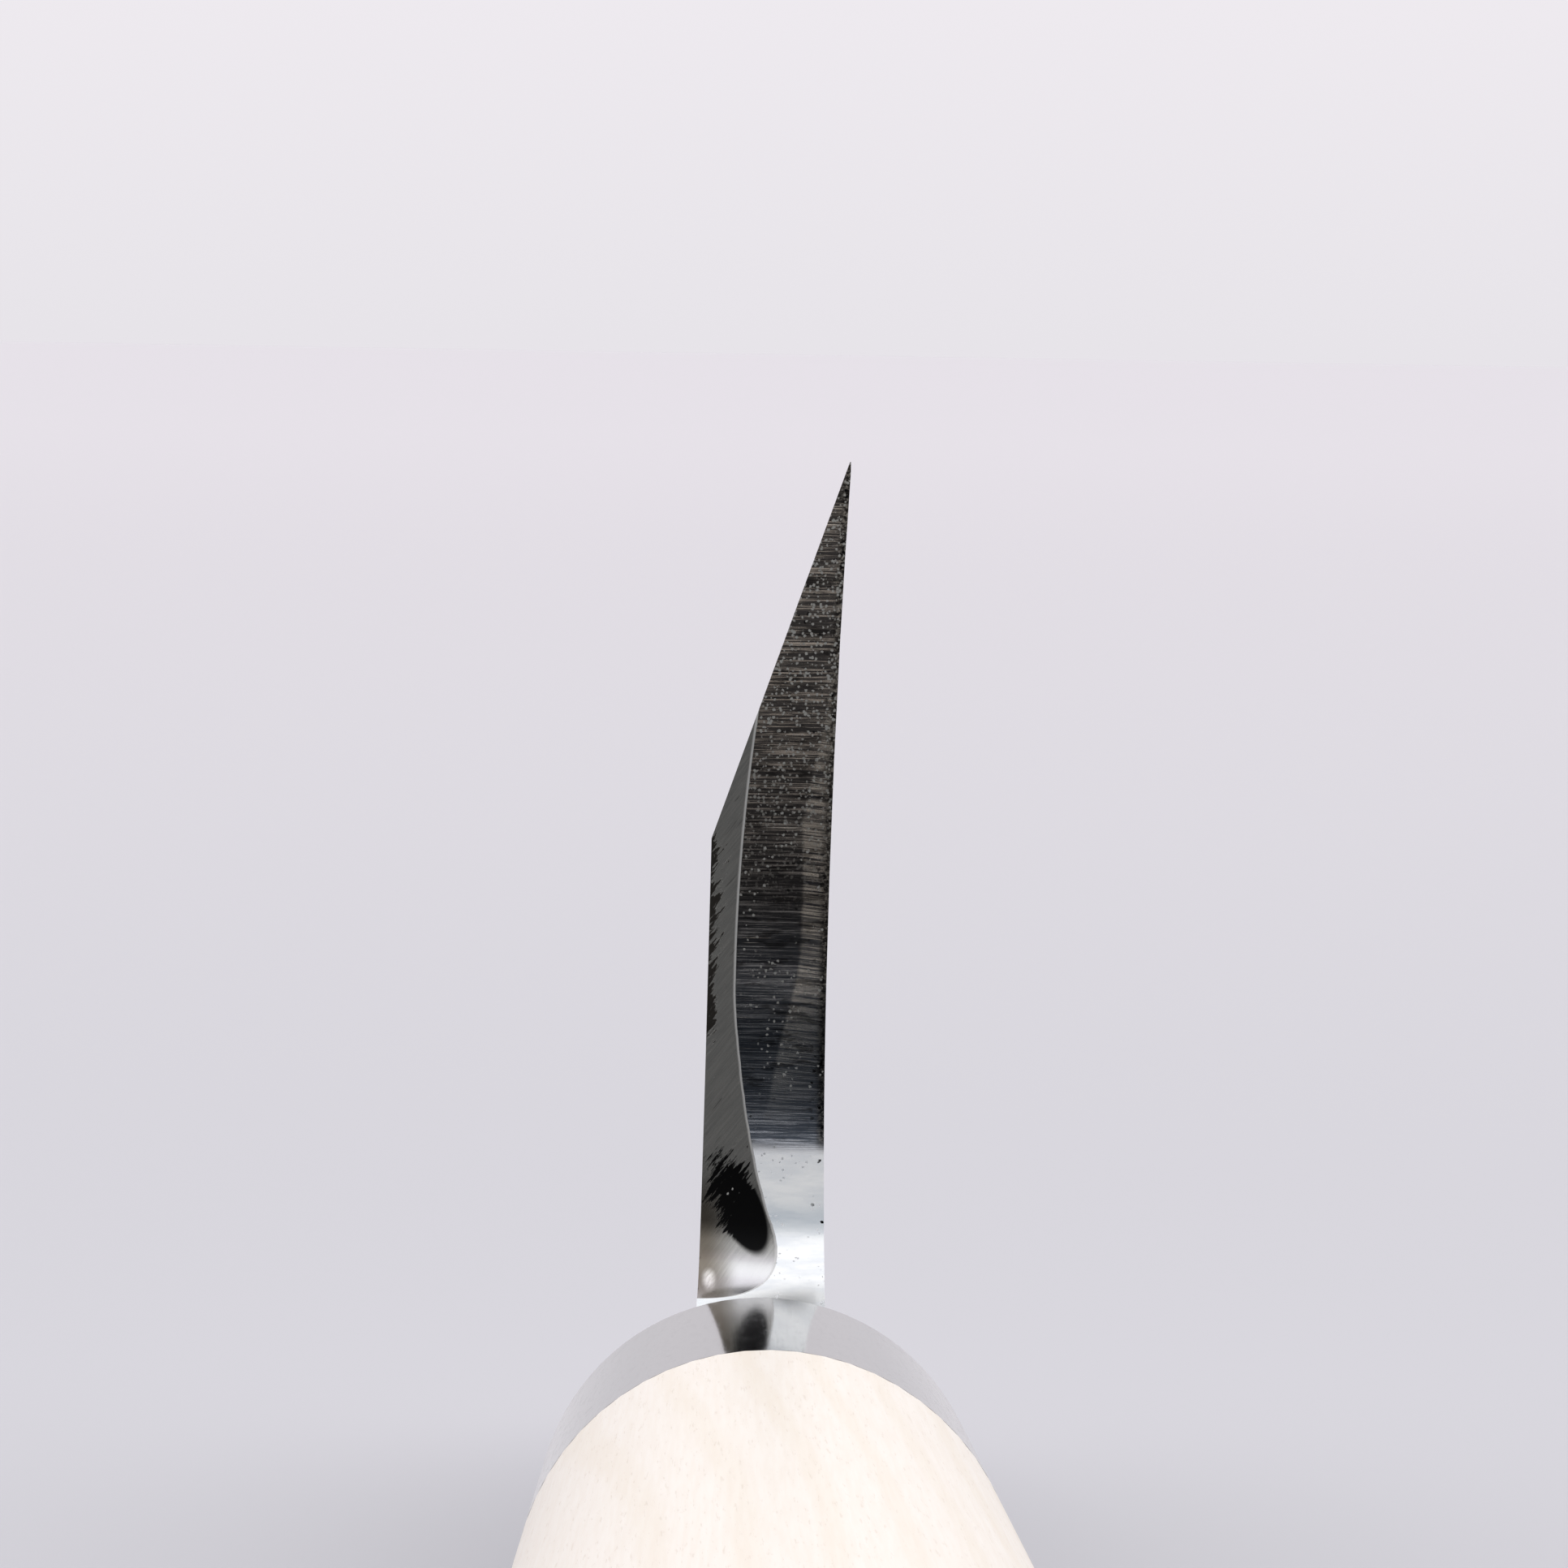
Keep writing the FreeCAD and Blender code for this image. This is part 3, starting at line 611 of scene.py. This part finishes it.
def magnolia():
    """Pale straight-grained wood whose growth rings run through from the sides to the end grain."""
    s = Shader("handle_wood")
    bend = s.noise((0.035, 0.008, 0.035), detail=1, rough=0.4)
    from_pith = s.vector("LENGTH", s.join(s.line(x=1.0, offset=-PITH_X), 0.0, s.line(z=1.0, offset=-PITH_Z)))
    rings = s.math("SINE", s.mul(s.add(from_pith, s.mul(bend, RING_WANDER)), 2 * math.pi / RING_WIDTH))
    late = s.step(rings, 0.1, 1.0)
    fibres = s.noise((5.0, 0.06, 5.0), detail=4, rough=0.65)
    pores = s.step(s.noise((9.0, 0.35, 9.0), detail=2, rough=0.7), 0.6, 0.72)
    colour = s.mix(s.step(fibres, 0.3, 0.7), srgb(243, 236, 224), srgb(247, 242, 232))
    colour = s.mix(s.mul(late, 0.15), colour, srgb(228, 212, 180))
    colour = s.mix(s.mul(pores, 0.22), colour, srgb(190, 168, 136))
    end_grain = s.step(s.ny, -0.7, -0.95)
    colour = s.mix(s.mul(end_grain, 0.5), colour, s.mix(late, srgb(228, 211, 178), srgb(206, 182, 142)))
    rough = s.blend(end_grain, SANDED_WOOD, END_GRAIN)
    height = s.sub(s.mul(fibres, 0.5), s.mul(pores, 0.5))
    return s.finish(Base_Color=colour, Roughness=rough, Normal=s.bump(height, WOOD_BUMP))


def resin():
    """Matt cast resin of a mottled brown."""
    s = Shader("bedding_resin")
    mottle = s.noise((1.5, 1.5, 1.5), detail=4)
    colour = s.mix(mottle, srgb(92, 80, 62), srgb(124, 108, 84))
    return s.finish(Base_Color=colour, Roughness=CAST_RESIN, Normal=s.bump(mottle, RESIN_BUMP))


def make_camera():
    data = bpy.data.cameras.new("camera")
    data.lens = LENS_MM
    data.sensor_width = SENSOR_MM
    data.clip_start, data.clip_end = CAMERA_CLIP
    camera = bpy.data.objects.new("camera", data)
    camera.location = CAMERA_AT
    camera.rotation_euler = [math.radians(turn) for turn in CAMERA_TURN_DEG]
    SCENE.collection.objects.link(camera)
    SCENE.camera = camera


def sheet(name, corners, material):
    """A flat four-cornered piece of the studio."""
    mesh = bpy.data.meshes.new(name)
    mesh.from_pydata([tuple(corner) for corner in corners], [], [(0, 1, 2, 3)])
    mesh.materials.append(material)
    item = bpy.data.objects.new(name, mesh)
    SCENE.collection.objects.link(item)
    return item


def card_material(name, level, colour):
    """A glow of one brightness and colour."""
    material = bpy.data.materials.new(name)
    material.use_nodes = True
    tree = material.node_tree
    tree.nodes.clear()
    glow = tree.nodes.new("ShaderNodeEmission")
    glow.inputs["Color"].default_value = (*colour, 1.0)
    glow.inputs["Strength"].default_value = level
    out = tree.nodes.new("ShaderNodeOutputMaterial")
    tree.links.new(glow.outputs[0], out.inputs["Surface"])
    return material


def floor_paper():
    """White paper with painted shading: darker near the knife, paler far off."""
    s = Shader("floor")
    distance = s.math("LOGARITHM", s.vector("LENGTH", s.place), 10.0)
    far = s.step(distance, math.log10(FLOOR_DARK_WITHIN), math.log10(FLOOR_PALE_FROM))
    colour = s.mix(far, srgb(203, 204, 208), srgb(247, 246, 248))
    return s.finish(Base_Color=colour, Roughness=PAPER, Specular_IOR_Level=0.1)


def direction(azimuth, elevation):
    """Azimuth 0 is behind the butt and 90 is on the flat side."""
    around = math.radians(azimuth)
    up = math.radians(elevation)
    return Vector((math.sin(around) * math.cos(up), -math.cos(around) * math.cos(up), math.sin(up)))


def card(name, azimuths, elevations, level, colour):
    """A card that only reflections see, between two azimuths and two elevations."""
    mesh = bpy.data.meshes.new(name)
    points = []
    for row in range(CARD_ROWS + 1):
        for column in range(CARD_COLUMNS + 1):
            azimuth = azimuths[0] + (azimuths[1] - azimuths[0]) * column / CARD_COLUMNS
            elevation = elevations[0] + (elevations[1] - elevations[0]) * row / CARD_ROWS
            points.append(tuple(direction(azimuth, elevation) * CARD_DISTANCE))
    faces = []
    for row in range(CARD_ROWS):
        for column in range(CARD_COLUMNS):
            first = row * (CARD_COLUMNS + 1) + column
            above = first + CARD_COLUMNS + 1
            faces.append((first, first + 1, above + 1, above))
    mesh.from_pydata(points, [], faces)
    mesh.materials.append(card_material(name, level, colour))
    item = bpy.data.objects.new(name, mesh)
    SCENE.collection.objects.link(item)
    item.visible_camera = False
    item.visible_diffuse = False
    item.visible_shadow = False
    item.visible_transmission = False


def make_sky():
    """A pale backdrop all round, a little darker at the horizon."""
    world = bpy.data.worlds.new("studio")
    SCENE.world = world
    world.use_nodes = True
    tree = world.node_tree
    background = tree.nodes["Background"]
    coords = tree.nodes.new("ShaderNodeTexCoord")
    parts = tree.nodes.new("ShaderNodeSeparateXYZ")
    ramp = tree.nodes.new("ShaderNodeValToRGB")
    tree.links.new(coords.outputs["Generated"], parts.inputs[0])
    tree.links.new(parts.outputs["Z"], ramp.inputs["Fac"])
    tree.links.new(ramp.outputs["Color"], background.inputs["Color"])
    low, high = ramp.color_ramp.elements
    low.position = 0.0
    low.color = srgb(231, 228, 233)
    high.position = SKY_CHANGES_BELOW
    high.color = srgb(238, 234, 239)
    background.inputs["Strength"].default_value = 1.0


def make_floor():
    signs = ((-1, -1), (1, -1), (1, 1), (-1, 1))
    corners = [(x * FLOOR_HALF, y * FLOOR_HALF, FLOOR) for x, y in signs]
    floor = sheet("floor", corners, floor_paper())
    floor.visible_glossy = False


def make_lamp():
    lamp = bpy.data.lights.new("soft_top", "AREA")
    lamp.shape = "RECTANGLE"
    lamp.size = LAMP_SIDE
    lamp.size_y = LAMP_SIDE
    lamp.energy = LAMP_WATTS
    lamp.color = LAMP_COLOUR
    light = bpy.data.objects.new("soft_top", lamp)
    light.location = LAMP_AT
    light.rotation_euler = (LAMP_AIM - LAMP_AT).to_track_quat("-Z", "Y").to_euler()
    SCENE.collection.objects.link(light)
    light.visible_glossy = False


make_camera()
make_sky()
make_floor()
for card_name, place_and_look in CARDS.items():
    card(card_name, *place_and_look)
make_lamp()
dress("blade", steel())
dress("ferrule", collar_plastic())
dress("handle_body", magnolia())
bedding_resin = resin()
dress("tang_bedding", bedding_resin)
dress("slot_seal", bedding_resin)
SCENE.view_settings.view_transform = "Standard"
